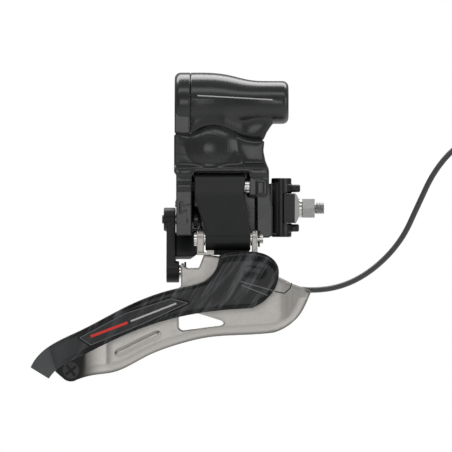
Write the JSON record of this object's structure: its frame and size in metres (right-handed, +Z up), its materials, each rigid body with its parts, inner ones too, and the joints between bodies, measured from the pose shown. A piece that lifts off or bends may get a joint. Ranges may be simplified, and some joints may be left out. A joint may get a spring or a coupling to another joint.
{
  "type": "front derailleur",
  "caption": "Motor-driven front derailleur: a gear case on a bolt-on mount swings a two-plate chain cage outboard on two parallel links.",
  "frame": {"origin": "on the fixing stud's axis, in the saddle face that sits against the frame's hanger", "axes": "+X forward on the bike, along the fixing stud; +Y inboard, towards the frame; +Z up"},
  "size_m": [0.2153, 0.0436, 0.1315],
  "materials": {
    "graphite_housing": "satin graphite, carbon-filled polymer",
    "black_plastic": "satin black",
    "black_alloy": "satin black anodised aluminium",
    "cage_steel": "fine brushed, satin",
    "bright_steel": "polished steel",
    "fastener_steel": "plain steel",
    "black_steel": "black oxide",
    "carbon": "lacquered unidirectional carbon",
    "tail_grey": "matte grey anodised",
    "gear_brass": "machined",
    "gear_steel": "hobbed",
    "rubber": "matt",
    "cable_jacket": "smooth dark grey jacket",
    "board_green": "circuit board",
    "motor_shell": "zinc-plated can"
  },
  "bodies": {
    "frame_body": {"motor_cover": "graphite_housing", "gear_case_cap": "graphite_housing", "main_body": "graphite_housing", "body_gasket": "rubber", "gear_lid": "black_alloy", "lid_screws": "fastener_steel", "cover_screws": "fastener_steel", "gear_plate": "fastener_steel", "motor_can": "motor_shell", "motor_screws": "fastener_steel", "gear_axles": "bright_steel", "control_board": "board_green", "shaft_bushes": "gear_brass", "link_pin_upper": "bright_steel", "upper_spacers": "bright_steel", "mount_block": "black_alloy", "mount_screws": "fastener_steel", "saddle_pad": "black_plastic", "fixing_stud": "fastener_steel", "clamp_washer": "black_alloy", "plain_washer": "bright_steel", "fixing_nut": "fastener_steel", "cable_grommet": "rubber", "data_cable": "cable_jacket", "cable_coil": "cable_jacket", "data_cable_end": "cable_jacket", "cable_connector": "black_plastic"},
    "rotor": {"motor_pinion": "gear_steel"},
    "gear_1": {"compound_gear_1": "gear_brass"},
    "gear_2": {"compound_gear_2": "gear_steel"},
    "gear_3": {"compound_gear_3": "gear_steel"},
    "crank": {"sector_gear": "gear_steel", "output_shaft": "bright_steel", "crank_arm": "black_alloy", "crank_screw": "black_steel", "crank_pin": "bright_steel", "crank_washer": "bright_steel", "crank_clip": "black_steel"},
    "link": {"outer_link": "black_alloy"},
    "cage": {"outer_plate": "tail_grey", "carbon_skin": "carbon", "label_panel": "black_plastic", "outer_rivets": "bright_steel", "cage_bridge": "cage_steel", "link_pin_lower": "bright_steel", "lower_clip": "black_steel", "lower_spacers": "bright_steel", "inner_plate": "cage_steel", "inner_rivets": "bright_steel", "tail_lug": "black_plastic", "tail_rivets": "bright_steel", "tail_screw": "black_steel", "tail_nut": "fastener_steel"}
  },
  "joints": [
    {"name": "outer_link_hinge", "type": "hinge", "parent": "frame_body", "child": "link", "pos_m": [-0.0475, -0.006, 0.0094], "axis": [-1, 0, 0], "range_deg": [0, 22]},
    {"name": "cage_pivot", "type": "hinge", "parent": "link", "child": "cage", "pos_m": [-0.0475, -0.0146, -0.013], "axis": [-1, 0, 0], "range_deg": [-22, 0]},
    {"name": "crank_hinge", "type": "hinge", "parent": "frame_body", "child": "crank", "pos_m": [-0.0475, 0.005, -0.0047], "axis": [-1, 0, 0], "range_deg": [0, 22]},
    {"name": "gear_3_spin", "type": "hinge", "parent": "frame_body", "child": "gear_3", "pos_m": [-0.0475, 0.005, 0.0118], "axis": [-1, 0, 0], "range_deg": [-100, 1]},
    {"name": "gear_2_spin", "type": "hinge", "parent": "frame_body", "child": "gear_2", "pos_m": [-0.0475, 0.005, 0.0223], "axis": [-1, 0, 0], "range_deg": [-1, 248.5]},
    {"name": "gear_1_spin", "type": "hinge", "parent": "frame_body", "child": "gear_1", "pos_m": [-0.0475, 0.005, 0.0333], "axis": [-1, 0, 0], "range_deg": [-661, 1]},
    {"name": "motor_spin", "type": "hinge", "parent": "frame_body", "child": "rotor", "pos_m": [-0.0475, 0.005, 0.0453], "axis": [-1, 0, 0], "range_deg": [-1, 1981]}
  ],
  "couplings": [
    {"joint": "cage_pivot", "follows": "outer_link_hinge", "ratio": -1},
    {"joint": "crank_hinge", "follows": "outer_link_hinge", "ratio": 1},
    {"joint": "gear_3_spin", "follows": "outer_link_hinge", "ratio": -4.5},
    {"joint": "gear_2_spin", "follows": "outer_link_hinge", "ratio": 11.25},
    {"joint": "gear_1_spin", "follows": "outer_link_hinge", "ratio": -30},
    {"joint": "motor_spin", "follows": "outer_link_hinge", "ratio": 90}
  ]
}
